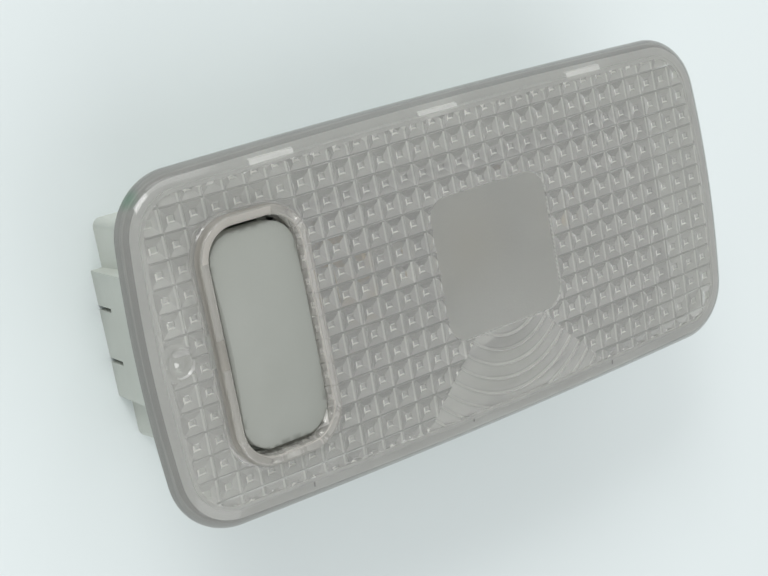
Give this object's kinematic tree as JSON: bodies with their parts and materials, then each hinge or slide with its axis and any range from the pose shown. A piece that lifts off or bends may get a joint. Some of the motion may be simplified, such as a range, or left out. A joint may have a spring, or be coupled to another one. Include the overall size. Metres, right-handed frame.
{
  "type": "car interior light",
  "caption": "Recessed car interior light with a crowned prism lens, a deep snap-in housing and a three-position rocker switch.",
  "frame": {"origin": "middle of the lens in plan, at the back face of the housing", "axes": "+X along the lamp away from the rocker, +Y across it, +Z out of the lens"},
  "size_m": [0.1282, 0.0604, 0.0394],
  "materials": {
    "lens_plastic": "clear moulded plastic, smooth outside, prisms inside, matt window",
    "housing_plastic": "light grey moulded plastic, faint mould texture",
    "button_plastic": "light grey moulded plastic, satin",
    "plunger_plastic": "pale moulded plastic",
    "spring_steel": "drawn spring wire",
    "contact_brass": "stamped brass strip",
    "rivet_brass": "turned brass, headed both ends",
    "reflector_white": "white painted sheet",
    "bulb_glass": "clear thin glass",
    "cap_metal": "plated cap",
    "filament": "dark coiled wire",
    "clip_steel": "spring steel strip"
  },
  "bodies": {
    "lamp": {"lens": "lens_plastic", "housing": "housing_plastic", "common_contact": "contact_brass", "feed_contact": "contact_brass", "door_contact": "contact_brass", "earth_contact": "contact_brass", "feed_blade": "contact_brass", "door_blade": "contact_brass", "earth_blade": "contact_brass", "contact_rivets": "rivet_brass", "reflector": "reflector_white", "bulb_glass": "bulb_glass", "bulb_cap_left": "cap_metal", "bulb_cap_right": "cap_metal", "bulb_filament": "filament", "roof_clip_upper": "clip_steel", "roof_clip_lower": "clip_steel"},
    "rocker": {"rocker_button": "button_plastic", "switch_plunger": "plunger_plastic", "switch_spring": "spring_steel"},
    "seesaw": {"seesaw_contact": "contact_brass"}
  },
  "joints": [
    {"name": "rocker_pivot", "type": "hinge", "parent": "lamp", "child": "rocker", "pos_m": [-0.0426, 0, 0.031], "axis": [1, 0, 0], "range_deg": [-6, 6]},
    {"name": "seesaw_pivot", "type": "hinge", "parent": "lamp", "child": "seesaw", "pos_m": [-0.0426, 0, 0.0139], "axis": [1, 0, 0], "range_deg": [-4.4, 4.4]}
  ],
  "couplings": [
    {"joint": "seesaw_pivot", "follows": "rocker_pivot", "ratio": -0.714}
  ]
}
